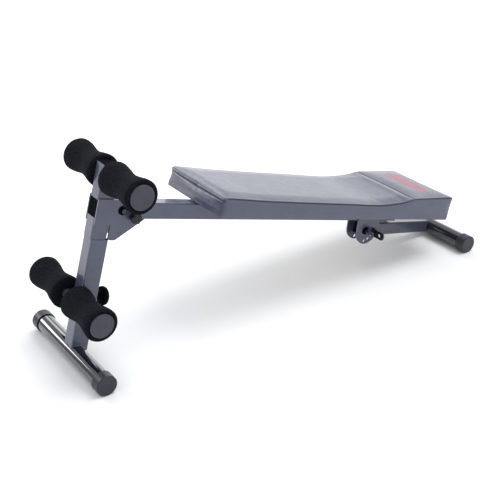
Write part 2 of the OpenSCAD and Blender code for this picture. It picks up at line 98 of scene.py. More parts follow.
SUN_STRENGTH = 1.15
SUN_ANGLE = math.radians(34)
SUN_DIRECTION = Vector((-0.38, 0.10, -0.92))
HORIZON_STRENGTH = 0.4
OVERHEAD_STRENGTH = 0.98
OVERHEAD_FROM = 0.7
SKY_COLOUR = (0.94, 0.97, 1.0, 1)
FLOOR_HALF = 40


def add_camera():
    data = bpy.data.cameras.new("camera")
    data.lens = CAMERA_LENS
    data.shift_x, data.shift_y = CAMERA_SHIFT
    camera = bpy.data.objects.new("camera", data)
    look = (CAMERA_AIM - CAMERA_PLACE).to_track_quat("-Z", "Y")
    camera.location = CAMERA_PLACE
    camera.rotation_euler = (look @ Quaternion((0, 0, 1), CAMERA_ROLL)).to_euler()
    bpy.context.scene.collection.objects.link(camera)
    bpy.context.scene.camera = camera


def add_softbox(name, place, aim, size, watts):
    """Rectangular studio light that faces a point."""
    data = bpy.data.lights.new(name, "AREA")
    data.shape = "RECTANGLE"
    data.size, data.size_y = size
    data.energy = watts
    light = bpy.data.objects.new(name, data)
    light.location = place
    light.rotation_euler = (Vector(aim) - Vector(place)).to_track_quat("-Z", "Y").to_euler()
    bpy.context.scene.collection.objects.link(light)


def add_sun():
    """Broad main light from overhead, a little from the bench's rear end."""
    data = bpy.data.lights.new("main_light", "SUN")
    data.energy = SUN_STRENGTH
    data.angle = SUN_ANGLE
    light = bpy.data.objects.new("main_light", data)
    light.rotation_euler = SUN_DIRECTION.to_track_quat("-Z", "Y").to_euler()
    bpy.context.scene.collection.objects.link(light)


def add_world():
    """Soft dome, bright overhead and dimmer towards the horizon."""
    world = bpy.data.worlds.new("studio")
    world.use_nodes = True
    tree = world.node_tree
    places = tree.nodes.new("ShaderNodeTexCoord")
    parts = tree.nodes.new("ShaderNodeSeparateXYZ")
    spread = tree.nodes.new("ShaderNodeMapRange")
    spread.inputs["From Max"].default_value = OVERHEAD_FROM
    spread.inputs["To Min"].default_value = HORIZON_STRENGTH
    spread.inputs["To Max"].default_value = OVERHEAD_STRENGTH
    background = tree.nodes["Background"]
    background.inputs["Color"].default_value = SKY_COLOUR
    tree.links.new(places.outputs["Generated"], parts.inputs["Vector"])
    tree.links.new(parts.outputs["Z"], spread.inputs["Value"])
    tree.links.new(spread.outputs["Result"], background.inputs["Strength"])
    bpy.context.scene.world = world


def add_floor():
    mesh = bpy.data.meshes.new("floor")
    corners = [(x * FLOOR_HALF, y * FLOOR_HALF, 0) for x, y in ((-1, -1), (1, -1), (1, 1), (-1, 1))]
    mesh.from_pydata(corners, [], [(0, 1, 2, 3)])
    floor = bpy.data.objects.new("floor", mesh)
    bpy.context.scene.collection.objects.link(floor)
    mesh.materials.append(floor_material())


# ---- Materials ----

def new_material(name, colour, roughness, metallic=0.0, specular=0.5):
    material = bpy.data.materials.new(name)
    material.use_nodes = True
    shader = material.node_tree.nodes["Principled BSDF"]
    shader.inputs["Base Color"].default_value = (*colour, 1)
    shader.inputs["Roughness"].default_value = roughness
    shader.inputs["Metallic"].default_value = metallic
    shader.inputs["Specular IOR Level"].default_value = specular
    return material


def add_node(material, kind, **settings):
    node = material.node_tree.nodes.new(kind)
    for name, value in settings.items():
        if name in node.inputs:
            node.inputs[name].default_value = value
        else:
            setattr(node, name, value)
    return node


def link(material, output, socket):
    material.node_tree.links.new(output, socket)


def shader_of(material):
    return material.node_tree.nodes["Principled BSDF"]


def object_places(material):
    return add_node(material, "ShaderNodeTexCoord").outputs["Object"]


def noise_of(material, scale, detail=3.0, stretch=None):
    """Noise in the object's own space; scale is in cycles per metre, and stretch scales its axes."""
    texture = add_node(material, "ShaderNodeTexNoise", Scale=scale, Detail=detail)
    places = object_places(material)
    if stretch:
        mapping = add_node(material, "ShaderNodeMapping")
        mapping.inputs["Scale"].default_value = stretch
        link(material, places, mapping.inputs["Vector"])
        places = mapping.outputs["Vector"]
    link(material, places, texture.inputs["Vector"])
    return texture.outputs["Fac"]


def mottle(material, factor, dark, light, low=0.35, high=0.65):
    """Base colour that wanders between two tones."""
    ramp = add_node(material, "ShaderNodeValToRGB")
    ramp.color_ramp.elements[0].position = low
    ramp.color_ramp.elements[1].position = high
    ramp.color_ramp.elements[0].color = (*dark, 1)
    ramp.color_ramp.elements[1].color = (*light, 1)
    link(material, factor, ramp.inputs["Fac"])
    link(material, ramp.outputs["Color"], shader_of(material).inputs["Base Color"])


def vary_roughness(material, factor, low, high):
    spread = add_node(material, "ShaderNodeMapRange")
    spread.inputs["From Min"].default_value = 0.3
    spread.inputs["From Max"].default_value = 0.7
    spread.inputs["To Min"].default_value = low
    spread.inputs["To Max"].default_value = high
    link(material, factor, spread.inputs["Value"])
    link(material, spread.outputs["Result"], shader_of(material).inputs["Roughness"])


def add_bump(material, height, strength, depth):
    """Bump on top of any bump that the material already has; depth is in metres."""
    bump = add_node(material, "ShaderNodeBump", Strength=strength, Distance=depth)
    normal = shader_of(material).inputs["Normal"]
    if normal.is_linked:
        link(material, normal.links[0].from_socket, bump.inputs["Normal"])
    link(material, height, bump.inputs["Height"])
    link(material, bump.outputs["Normal"], normal)


def shade(colour, amount):
    return tuple(channel * amount for channel in colour)


def floor_material():
    material = new_material("pale_floor", (0.93, 0.93, 0.93), 0.9, specular=0.1)
    mottle(material, noise_of(material, 2.0), (0.925, 0.925, 0.925), (0.935, 0.935, 0.935))
    return material


def paint_material(name, colour, roughness, coat):
    """Baked enamel: a fine orange peel, a faint cloud in its tone and slightly uneven gloss."""
    material = new_material(name, colour, roughness)
    shader_of(material).inputs["Coat Weight"].default_value = coat
    shader_of(material).inputs["Coat Roughness"].default_value = 0.06
    cloud = noise_of(material, 28, detail=5)
    mottle(material, cloud, shade(colour, 0.9), shade(colour, 1.08))
    vary_roughness(material, noise_of(material, 16, detail=1), roughness * 0.94, roughness * 1.1)
    add_bump(material, noise_of(material, 260, detail=1), 0.08, 0.08 * MM)
    return material


def zinc_material():
    """Zinc-plated steel with fine turning marks."""
    material = new_material("zinc_steel", (0.42, 0.43, 0.46), 0.34, metallic=1.0)
    mottle(material, noise_of(material, 160, detail=5), (0.34, 0.35, 0.37), (0.5, 0.5, 0.53))
    vary_roughness(material, noise_of(material, 300, detail=4), 0.26, 0.46)
    add_bump(material, noise_of(material, 900, detail=3, stretch=(1, 4, 1)), 0.2, 0.08 * MM)
    return material


def moulded_material(name, colour, roughness, grain=0.3, ior=1.45):
    """Moulded plastic: spark-eroded grain and faint flow marks."""
    material = new_material(name, colour, roughness)
    shader_of(material).inputs["IOR"].default_value = ior
    mottle(material, noise_of(material, 35, detail=4), shade(colour, 0.88), shade(colour, 1.12))
    vary_roughness(material, noise_of(material, 90, detail=5), roughness * 0.88, roughness * 1.12)
    add_bump(material, noise_of(material, 1500, detail=2), grain, 0.12 * MM)
    return material


def foam_material():
    """Closed-cell foam: matt, with small open cells on its skin."""
    material = new_material("roller_foam", (0.007, 0.008, 0.011), 0.95, specular=0.08)
    mottle(material, noise_of(material, 240, detail=6), (0.004, 0.005, 0.008), (0.012, 0.014, 0.019))
    cells = add_node(material, "ShaderNodeTexVoronoi", Scale=900.0)
    link(material, object_places(material), cells.inputs["Vector"])
    add_bump(material, cells.outputs["Distance"], 0.55, 0.35 * MM)
    add_bump(material, noise_of(material, 260, detail=5), 0.35, 0.6 * MM)
    return material


def vinyl_material(name, colour, roughness):
    """Upholstery vinyl: embossed leather grain under a satin top coat."""
    material = new_material(name, colour, roughness, specular=0.55)
    shader_of(material).inputs["Coat Weight"].default_value = 0.6
    shader_of(material).inputs["Coat Roughness"].default_value = 0.3
    mottle(material, noise_of(material, 22, detail=6), shade(colour, 0.92), shade(colour, 1.08))
    vary_roughness(material, noise_of(material, 45, detail=6), roughness * 0.88, roughness * 1.12)
    cells = add_node(material, "ShaderNodeTexVoronoi", Scale=620.0, feature="DISTANCE_TO_EDGE")
    link(material, object_places(material), cells.inputs["Vector"])
    crease = add_node(material, "ShaderNodeMapRange")
    crease.inputs["From Max"].default_value = 0.16
    link(material, cells.outputs["Distance"], crease.inputs["Value"])
    add_bump(material, crease.outputs["Result"], 0.3, 0.12 * MM)
    add_bump(material, noise_of(material, 1400, detail=3), 0.2, 0.08 * MM)
    return material


def board_material():
    """Pressed board: pale flakes with a long grain."""
    colour = (0.36, 0.25, 0.14)
    material = new_material("pad_board", colour, 0.75)
    grain = noise_of(material, 60, detail=8, stretch=(1, 9, 9))
    mottle(material, grain, shade(colour, 0.65), shade(colour, 1.25))
    add_bump(material, grain, 0.4, 0.3 * MM)
    return material


def thread_material():
    material = new_material("stitch_thread", (0.02, 0.021, 0.025), 0.7)
    twist = add_node(material, "ShaderNodeTexWave", Scale=900.0, Distortion=1.0)
    link(material, object_places(material), twist.inputs["Vector"])
    mottle(material, noise_of(material, 400), (0.014, 0.015, 0.018), (0.03, 0.032, 0.038))
    add_bump(material, twist.outputs["Fac"], 0.5, 0.1 * MM)
    return material


def print_material():
    """Printed ink, slightly worn."""
    material = new_material("printed_mark", (0.68, 0.07, 0.12), 0.5)
    mottle(material, noise_of(material, 300, detail=6), (0.56, 0.05, 0.09), (0.78, 0.10, 0.16))
    vary_roughness(material, noise_of(material, 120), 0.4, 0.6)
    add_bump(material, noise_of(material, 1400), 0.2, 0.06 * MM)
    return material


def make_materials():
    return {
        "frame_paint": paint_material("frame_paint", (0.062, 0.071, 0.118), 0.3, 0.6),
        "gloss_black_paint": paint_material("gloss_black_paint", (0.008, 0.010, 0.019), 0.1, 1.0),
        "black_steel": paint_material("black_steel", (0.006, 0.007, 0.010), 0.2, 0.25),
        "zinc_steel": zinc_material(),
        "black_plastic": moulded_material("black_plastic", (0.004, 0.005, 0.007), 0.55, ior=1.05),
        "gloss_black_plastic": moulded_material("gloss_black_plastic", (0.010, 0.011, 0.014), 0.18,
                                                grain=0.1, ior=1.4),
        "foot_cap_plastic": moulded_material("foot_cap_plastic", (0.022, 0.025, 0.036), 0.4),
        "disc_plastic": moulded_material("disc_plastic", (0.044, 0.045, 0.064), 0.46),
        "roller_foam": foam_material(),
        "sleeve_plastic": moulded_material("sleeve_plastic", (0.03, 0.03, 0.035), 0.45),
        "pad_board": board_material(),
        "pad_vinyl": vinyl_material("pad_vinyl", (0.054, 0.060, 0.108), 0.42),
        "thread": thread_material(),
        "print": print_material(),
    }


def dress_frame(materials):
    """Gives every CAD node the material of its slot."""
    for part in frame["record"]["subparts"]:
        mesh = nodes[part["node"]].data
        mesh.materials.clear()
        mesh.materials.append(materials[part["material_slot"]])


# ---- Mesh helpers ----

def add_piece(name, mesh, material, body, smooth=True):
    """Turns a bmesh in the row frame into a piece that rides on a body."""
    data = bpy.data.meshes.new(name)
    mesh.to_mesh(data)
    mesh.free()
    data.materials.append(material)
    for polygon in data.polygons:
        polygon.use_smooth = smooth
    piece = bpy.data.objects.new(name, data)
    bpy.context.scene.collection.objects.link(piece)
    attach(piece, body)
    return piece


def curve_through(points, place):
    """Height at a place along a smooth curve through (place, height) points, level at both ends."""
    places = [point[0] for point in points]
    heights = [point[1] for point in points]
    if place <= places[0]:
        return heights[0]
    if place >= places[-1]:
        return heights[-1]
    last = len(points) - 1
    index = max(i for i in range(last) if places[i] <= place)

    def slope(i):
        if i in (0, last):
            return 0
        return (heights[i + 1] - heights[i - 1]) / (places[i + 1] - places[i - 1])

    width = places[index + 1] - places[index]
    t = (place - places[index]) / width
    rise = heights[index + 1] - heights[index]
    start, end = slope(index) * width, slope(index + 1) * width
    bend = t * t * (3 * rise - 2 * start - end)
    return heights[index] + t * start + bend + t ** 3 * (start + end - 2 * rise)


def grid_lines(stops, fine, coarse):
    """Grid lines through every stop, close together beside the stops and wider between them."""
    lines = [stops[0]]
    for low, high in zip(stops, stops[1:]):
        half = (high - low) / 2
        steps = [0.0]
        while steps[-1] < half:
            steps.append(steps[-1] + min(coarse, fine + steps[-1] * 0.4))
        steps = [step * half / steps[-1] for step in steps]
        lines += [low + step for step in steps[1:]]
        lines += [high - step for step in reversed(steps[:-1])]
    return lines


def lattice_box(across_x, across_y, across_z, place):
    """Closed box of quads over a lattice's outer points; place(x, y, z) gives each vertex."""
    mesh = bmesh.new()
    counts = (len(across_x), len(across_y), len(across_z))
    vertices = {}

    def vertex(key):
        if key not in vertices:
            point = place(across_x[key[0]], across_y[key[1]], across_z[key[2]])
            vertices[key] = mesh.verts.new(point)
        return vertices[key]

    for axis in range(3):
        second, third = (axis + 1) % 3, (axis + 2) % 3
        for end in (0, counts[axis] - 1):
            for i in range(counts[second] - 1):
                for j in range(counts[third] - 1):
                    corners = []
                    for di, dj in ((0, 0), (1, 0), (1, 1), (0, 1)):
                        key = [0, 0, 0]
                        key[axis], key[second], key[third] = end, i + di, j + dj
                        corners.append(vertex(tuple(key)))
                    mesh.faces.new(corners)
    bmesh.ops.recalc_face_normals(mesh, faces=mesh.faces)
    return mesh


def lathe(profile, segments, place):
    """Closed ring of quads; profile holds (along, radius) pairs, place(along, radius, angle) a vertex."""
    mesh = bmesh.new()
    rings = []
    for along, radius in profile:
        ring = [mesh.verts.new(place(along, radius, math.tau * k / segments)) for k in range(segments)]
        rings.append(ring)
    for i, ring in enumerate(rings):
        following = rings[(i + 1) % len(rings)]
        for k in range(segments):
            k2 = (k + 1) % segments
            mesh.faces.new((ring[k], ring[k2], following[k2], following[k]))
    bmesh.ops.recalc_face_normals(mesh, faces=mesh.faces)
    return mesh


def tube_along(mesh, points, radius_at, sides=10, closed=False):
    """Adds a tube round a line of points; radius_at(i) is its radius at each."""
    count = len(points)
    rings = []
    for i, point in enumerate(points):
        before = points[i - 1] if i or closed else point
        after = points[(i + 1) % count] if i < count - 1 or closed else point
        forward = (after - before).normalized()
        side = forward.orthogonal() if abs(forward.z) > 0.9 else forward.cross(Vector((0, 0, 1)))
        side.normalize()
        up = side.cross(forward)
        ring = []
        for k in range(sides):
            angle = math.tau * k / sides
            offset = (side * math.cos(angle) + up * math.sin(angle)) * radius_at(i)
            ring.append(mesh.verts.new(point + offset))
        rings.append(ring)
    for i in range(count if closed else count - 1):
        ring, following = rings[i], rings[(i + 1) % count]
        for k in range(sides):
            k2 = (k + 1) % sides
            mesh.faces.new((ring[k], ring[k2], following[k2], following[k]))
    if not closed:
        mesh.faces.new(rings[0])
        mesh.faces.new(rings[-1])
    bmesh.ops.recalc_face_normals(mesh, faces=mesh.faces)


# ---- Pad ----

BACK_LOW, BACK_HIGH = bench_box("back_cushion")
HEAD_HIGH = bench_box("head_cushion")[1]
BOARD_LOW, BOARD_HIGH = bench_box("pad_board")
PAD_X0 = BACK_LOW.x
PAD_L = HEAD_HIGH.x - PAD_X0
SEAM_U = BACK_HIGH.x - PAD_X0
PAD_HALF = BACK_HIGH.y
PAD_Z0 = BOARD_LOW.z
BOARD_T = BOARD_HIGH.z - BOARD_LOW.z
SEAM_H = BACK_HIGH.z - PAD_Z0
HEAD_H = HEAD_HIGH.z - PAD_Z0

HEM_T = 0.9 * MM
HEM_W = 26 * MM
SWELL_CAP = 5 * MM
PAD_TOP = [
    (0.0, SEAM_H - 14 * MM), (40 * MM, SEAM_H - 14.5 * MM), (150 * MM, SEAM_H - 18.5 * MM),
    (SEAM_U - 250 * MM, SEAM_H - 22 * MM), (SEAM_U - 130 * MM, SEAM_H - 22.5 * MM),
    (SEAM_U - 42 * MM, SEAM_H - 12.5 * MM), (SEAM_U, SEAM_H - 2 * MM), (SEAM_U + 60 * MM, SEAM_H + 2 * MM),
    (PAD_L, HEAD_H - 2 * MM),
]
FRONT_ROLL = 13 * MM
REAR_ROLL = 7 * MM
SIDE_ROLL = 4 * MM
PLAN_ROLL = 10 * MM
REAR_HEEL = 16 * MM
HEM_ROLL = 2.5 * MM
FRONT_SEAM = FRONT_ROLL * 0.8
SEAM_SINK = 2.2 * MM
GATHER_DEPTH = 0.25 * MM
GATHER_PITCH = 13 * MM
COVER_SLACK = 1.5 * MM
FRONT_DIP = 3.2 * MM
FRONT_DIP_REACH = 16 * MM
COARSE_STEPS = (9 * MM, 11 * MM)
FINE_STEPS = (0.7 * MM, 8 * MM)
SHARE_STEPS = (0.02, 0.09)
CLOTH_FRAMES = 20
FOAM_PRESSURE = 4


def pad_row(u, v, w):
    """Pad coordinates to row frame: u from the front end, v to the left, w up from the board."""
    return to_row((PAD_X0 + u, v, PAD_Z0 + w))


def pad_top(u):
    return curve_through(PAD_TOP, u)


def rounded(a, b, radius):
    """Moves a point near a square edge onto a round one; a and b are its depths behind the two faces."""
    if a >= radius or b >= radius:
        return a, b
    depth_a, depth_b = radius - a, radius - b
    scale = max(depth_a, depth_b) / math.hypot(depth_a, depth_b)
    return radius - depth_a * scale, radius - depth_b * scale


def bell(distance, width):
    return math.exp(-(distance / width) ** 2)


def seam_depth(u, v, w, top):
    """How far the cover sinks at the seams of its long edges, rear edge, front face and head pad."""
    side_gap, top_gap, rear_gap = PAD_HALF - abs(v), top - w, PAD_L - u
    on_top = bell(top_gap, 1.0 * MM)
    on_front = bell(u, 1.0 * MM)
    long_edge = bell(side_gap + top_gap, 2.0 * MM)
    rear_edge = bell(rear_gap + top_gap, 2.0 * MM)
    cross = on_top * bell(u - SEAM_U, 1.9 * MM)
    front = on_front * bell(top_gap - FRONT_SEAM, 1.9 * MM)
    return SEAM_SINK * max(long_edge, rear_edge, cross, front)


def pucker(u, v, w, top):
    """Small gathers that run away from the cross seam and the front seam."""
    top_gap = top - w
    near_cross = bell(top_gap, 2 * MM) * bell(u - SEAM_U, 11 * MM)
    near_front = bell(u, 2 * MM) * bell(top_gap - FRONT_SEAM, 9 * MM)
    wave = math.sin(math.tau * v / GATHER_PITCH + 3 * noise.noise(Vector((v * 30, 0, 0))))
    return GATHER_DEPTH * wave * max(near_cross, near_front)


def pad_place(u, v, share):
    """Cover's shape at a lattice point; share runs from 0 at the hem to 1 on top."""
    base = -HEM_T
    top = pad_top(u)
    w = base + share * (top - base)
    top_gap, low_gap = top - w, w - base
    front_gap, rear_gap = u, PAD_L - u
    front_gap, top_gap = rounded(front_gap, top_gap, FRONT_ROLL)
    if u > PAD_L / 2:
        rear_gap, top_gap = rounded(rear_gap, top_gap, REAR_ROLL)
        rear_gap, low_gap = rounded(rear_gap, low_gap, REAR_HEEL)
    side_gap = PAD_HALF - abs(v)
    side_gap, top_gap = rounded(side_gap, top_gap, SIDE_ROLL)
    side_gap, low_gap = rounded(side_gap, low_gap, HEM_ROLL)
    if u < PAD_L / 2:
        front_gap, side_gap = rounded(front_gap, side_gap, PLAN_ROLL)
        out_u = front_gap
    else:
        rear_gap, side_gap = rounded(rear_gap, side_gap, PLAN_ROLL)
        out_u = PAD_L - rear_gap
    out_w = top - top_gap if share > 0.5 else base + low_gap
    out_v = math.copysign(PAD_HALF - side_gap, v)
    height = max(0.0, min(1.0, (out_w - BOARD_T) / (top - BOARD_T)))
    hollow = math.sin(math.pi * height)
    out_u += FRONT_DIP * hollow * bell(out_u, FRONT_DIP_REACH) * (1 - share ** 6)
    out_v -= math.copysign(COVER_SLACK * hollow, v)
    return out_u, out_v, out_w


def coarse_pad():
    """Even mesh of the cover for the cloth simulation."""
    u_lines = grid_lines([0, SEAM_U, PAD_L], *COARSE_STEPS)
    v_lines = grid_lines([-PAD_HALF, PAD_HALF], *COARSE_STEPS)
    shares = [k / 6 for k in range(7)]
    return lattice_box(u_lines, v_lines, shares, lambda u, v, share: pad_row(*pad_place(u, v, share)))


def hold_cover(cover):
    """Pins the hem and, almost as firmly, the seams."""
    held = cover.vertex_groups.new(name="held")
    for vertex in cover.data.vertices:
        u, v, w = pad_coordinates(vertex.co)
        fixed = 1.0 if w < BOARD_T else 0.0
        held.add([vertex.index], max(fixed, 0.9 * seam_hold(u, v, w)), "REPLACE")


def add_cloth(cover):
    """Stretchy vinyl with the foam's pressure behind it."""
    cloth = cover.modifiers.new("cloth", "CLOTH")
    cloth.settings.quality = 6
    cloth.settings.mass = 0.3
    cloth.settings.tension_stiffness = 18
    cloth.settings.compression_stiffness = 18
    cloth.settings.bending_stiffness = 1.5
    cloth.settings.use_pressure = True
    cloth.settings.uniform_pressure_force = FOAM_PRESSURE
    cloth.settings.vertex_group_mass = "held"
    cloth.settings.effector_weights.gravity = 0
    cloth.point_cache.frame_start = 1
    cloth.point_cache.frame_end = CLOTH_FRAMES


def swell_of_pad():
    """Cloth simulation: where each point of the coarse cover starts, and how far the foam pushes it."""
    mesh = bpy.data.meshes.new("swell")
    coarse = coarse_pad()
    coarse.to_mesh(mesh)
    coarse.free()
    cover = bpy.data.objects.new("swell", mesh)
    scene = bpy.context.scene
    scene.collection.objects.link(cover)
    starts = [vertex.co.copy() for vertex in mesh.vertices]
    hold_cover(cover)
    add_cloth(cover)
    for number in range(1, CLOTH_FRAMES + 1):
        scene.frame_set(number)
    pushed = cover.evaluated_get(bpy.context.evaluated_depsgraph_get()).to_mesh()
    pushes = [pushed.vertices[i].co - start for i, start in enumerate(starts)]
    bpy.data.objects.remove(cover)
    scene.frame_set(1)
    return starts, [push * min(1, SWELL_CAP / max(push.length, 1e-9)) for push in pushes]


def pad_coordinates(point):
    bench = to_bench(point)
    return bench.x - PAD_X0, bench.y, bench.z - PAD_Z0


def seam_hold(u, v, w):
    """How firmly the seams hold the cover back."""
    top = pad_top(u)
    along_edge = bell((PAD_HALF - abs(v)) + (top - w), 7 * MM)
    across = bell(u - SEAM_U, 9 * MM) * bell(top - w, 6 * MM)
    return max(along_edge, across)


def apply_swell(mesh, starts, pushes):
    """Carries the simulated swell over to the fine cover."""
    tree = kdtree.KDTree(len(starts))
    for i, start in enumerate(starts):
        tree.insert(start, i)
    tree.balance()
    for vertex in mesh.verts:
        found = tree.find_n(vertex.co, 6)
        weights = [1 / (distance + 2 * MM) ** 2 for _, _, distance in found]
        push = sum((pushes[i] * weight for (_, i, _), weight in zip(found, weights)), Vector())
        vertex.co += push / sum(weights)


def fine_pad():
    """Cover with lattice lines close to every seam, before the swell."""
    u_lines = grid_lines([0, SEAM_U, PAD_L], *FINE_STEPS)
    v_lines = grid_lines([-PAD_HALF, PAD_HALF], *FINE_STEPS)
    front_seam = 1 - FRONT_SEAM / (pad_top(0) + HEM_T)
    shares = grid_lines([0, front_seam, 1], *SHARE_STEPS)
    places = {}

    def place(u, v, share):
        point = pad_row(*pad_place(u, v, share))
        top = pad_top(u)
        w = share * (top + HEM_T) - HEM_T
        places[tuple(point)] = seam_depth(u, v, w, top) - pucker(u, v, w, top)
        return point

    mesh = lattice_box(u_lines, v_lines, shares, place)
    depths = [places[tuple(vertex.co)] for vertex in mesh.verts]
    return mesh, depths


def board_pocket():
    """Cutter: the board's room inside the cover and the open window between its hems."""
    gap = 0.05 * MM
    low, high = BOARD_LOW, BOARD_HIGH
    mesh = bmesh.new()
    boxes = [
        ((low.x - gap, low.y - gap, low.z - gap), (high.x + gap, high.y + gap, high.z + gap)),
        ((PAD_X0 + HEM_W, -PAD_HALF + HEM_W, low.z - 6 * MM),
         (PAD_X0 + PAD_L - HEM_W, PAD_HALF - HEM_W, low.z + 6 * MM)),
    ]
    for low_corner, high_corner in boxes:
        box = bmesh.ops.create_cube(mesh, size=1)
        for vertex in box["verts"]:
            share = vertex.co + Vector((0.5, 0.5, 0.5))
            vertex.co = to_row([a + (b - a) * s for a, b, s in zip(low_corner, high_corner, share)])
    return mesh


def cut_pocket(cover):
    """Cuts the board's room out of the cover, one box after the other."""
    cutter_mesh = bpy.data.meshes.new("pocket")
    cutter = board_pocket()
    cutter.to_mesh(cutter_mesh)
    cutter.free()
    cutter_object = bpy.data.objects.new("pocket", cutter_mesh)
    bpy.context.scene.collection.objects.link(cutter_object)
    cut = cover.modifiers.new("pocket", "BOOLEAN")
    cut.operation = "DIFFERENCE"
    cut.solver = "EXACT"
    cut.use_self = True
    cut.object = cutter_object
    apply_modifiers(cover)
    bpy.data.objects.remove(cutter_object)


def apply_modifiers(piece):
    graph = bpy.context.evaluated_depsgraph_get()
    graph.update()
    shaped = bpy.data.meshes.new_from_object(piece.evaluated_get(graph))
    piece.modifiers.clear()
    piece.data = shaped


def make_pad_cover(materials):
    mesh, depths = fine_pad()
    apply_swell(mesh, *swell_of_pad())
    mesh.normal_update()
    normals = [vertex.normal.copy() for vertex in mesh.verts]
    for vertex, normal, depth in zip(mesh.verts, normals, depths):
        vertex.co -= normal * depth
    cover = add_piece("pad_cover", mesh, materials["pad_vinyl"], "main_frame")
    cut_pocket(cover)
    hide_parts("back_cushion", "head_cushion")
    return cover


def surface_finder(piece):
    """Function that casts a pad place onto the piece, straight down unless told otherwise."""
    tree = BVHTree.FromObject(piece, bpy.context.evaluated_depsgraph_get())

    def find(u, v, w=HEAD_H + 50 * MM, direction=-OUT):
        hit, normal, _, _ = tree.ray_cast(pad_row(u, v, w), direction)
        return hit, normal

    return find


def make_seam_shade_cords(find, materials):
    """Painted shade of the seam grooves: thin dark cords sunk in the grooves of every seam."""
    mesh = bmesh.new()
    reach, inset, steps, cross_steps = 20 * MM, 5 * MM, 120, 60
    edge_radius, front_radius, cross_radius = 1.5 * MM, 1.3 * MM, 0.9 * MM
    lines = []
    for side in (-1, 1):
        inward = -(LEFT * side + OUT).normalized()
        line = []
        for k in range(steps + 1):
            u = inset + (PAD_L - 2 * inset) * k / steps
            line.append(find(u, side * (PAD_HALF + reach), pad_top(u) + reach, inward)[0])
        lines.append((line, edge_radius))
    rear, front, cross = [], [], []
    for k in range(cross_steps + 1):
        v = -PAD_HALF + inset + 2 * (PAD_HALF - inset) * k / cross_steps
        rear.append(find(PAD_L + reach, v, pad_top(PAD_L) + reach, -(ALONG + OUT).normalized())[0])
        front.append(find(-reach, v, pad_top(0) - FRONT_SEAM, ALONG)[0])
        cross.append(find(SEAM_U, v)[0])
    lines += [(rear, edge_radius), (front, front_radius), (cross, cross_radius)]
    for line, radius in lines:
        tube_along(mesh, line, lambda i, radius=radius: radius, sides=8)
    # The dark cords are painted shade, standing in for the shade inside the seam grooves.
    add_piece("pad_seam_shade_cords", mesh, materials["thread"], "main_frame")


def make_stitches(find, materials):
    """Row of lock stitches just behind the cross seam."""
    mesh = bmesh.new()
    pitch, length, inset, thread_radius = 4.5 * MM, 3.4 * MM, 6 * MM, 0.32 * MM
    u = SEAM_U + 3.4 * MM
    count = int(2 * (PAD_HALF - inset) / pitch)
    for k in range(count + 1):
        middle = -PAD_HALF + inset + k * pitch
        line = []
        for share in (-0.5, -0.25, 0, 0.25, 0.5):
            hit, normal = find(u, middle + share * length)
            line.append(hit + normal * (0.25 - 2.4 * share * share) * MM)
        tube_along(mesh, line, lambda i: thread_radius, sides=6)
    add_piece("cross_seam_stitches", mesh, materials["thread"], "main_frame")


def make_staples(materials):
    """Staples that hold the hem to the board."""
    mesh = bmesh.new()
    wire, crown, inset, pitch = 0.35 * MM, 9 * MM, 17 * MM, 38 * MM
    half = crown / 2
    w = -HEM_T - 0.2 * MM
    leg = [(1.0, 1.4 * MM), (0.96, 0.25 * MM), (0.85, 0)]
    ends = [(-along, rise) for along, rise in leg] + leg[::-1]
    rows = []
    count = int((PAD_L - 2 * HEM_W) / pitch)
    for k in range(count + 1):
        u = HEM_W + k * (PAD_L - 2 * HEM_W) / count
        rows += [(u, side * (PAD_HALF - inset), (1, 0)) for side in (-1, 1)]
    for k in range(-2, 3):
        rows += [(u, k * pitch, (0, 1)) for u in (inset, PAD_L - inset)]
    for u, v, (du, dv) in rows:
        line = [pad_row(u + du * half * a, v + dv * half * a, w + rise) for a, rise in ends]
        tube_along(mesh, line, lambda i: wire, sides=6)
    add_piece("hem_staples", mesh, materials["zinc_steel"], "main_frame")


def make_printed_mark(find, materials):
    """Plain printed bars on the head pad."""
    mesh = bmesh.new()
    centre_u = SEAM_U + (PAD_L - SEAM_U) * 0.54
    half_width, steps, spacing = 3.2 * MM, 40, 17 * MM
    short_half, long_half = 74 * MM, 104 * MM
    for offset, half_length in ((-spacing, short_half), (0, long_half), (spacing, short_half)):
        rows = []
        for i in range(steps + 1):
            v = -half_length + 2 * half_length * i / steps
            taper = math.sqrt(max(0.0, 1 - (v / half_length) ** 6))
            row = []
            for j in (-1, -0.33, 0.33, 1):
                hit, normal = find(centre_u + offset + j * half_width * max(taper, 0.15), v)
                row.append((hit + normal * 0.12 * MM, hit - normal * 0.1 * MM))
            rows.append(row)
        strip_of(mesh, rows)
    add_piece("head_pad_mark", mesh, materials["print"], "main_frame")


def strip_of(mesh, rows):
    """Thin closed strip from rows of (upper, lower) points."""
    vertices = [[(mesh.verts.new(a), mesh.verts.new(b)) for a, b in row] for row in rows]
    last_row, last_column = len(rows) - 1, len(rows[0]) - 1
    for i in range(last_row):
        for j in range(last_column):
            quad = (vertices[i][j], vertices[i + 1][j], vertices[i + 1][j + 1], vertices[i][j + 1])
            mesh.faces.new([pair[0] for pair in quad])
            mesh.faces.new([pair[1] for pair in reversed(quad)])
    border = [(i, 0) for i in range(last_row)] + [(last_row, j) for j in range(last_column)]
    border += [(i, last_column) for i in range(last_row, 0, -1)] + [(0, j) for j in range(last_column, 0, -1)]
    for (i, j), (i2, j2) in zip(border, border[1:] + border[:1]):
        a, b = vertices[i][j], vertices[i2][j2]
        mesh.faces.new((a[0], b[0], b[1], a[1]))
    bmesh.ops.recalc_face_normals(mesh, faces=mesh.faces)


# ---- Foam rollers ----

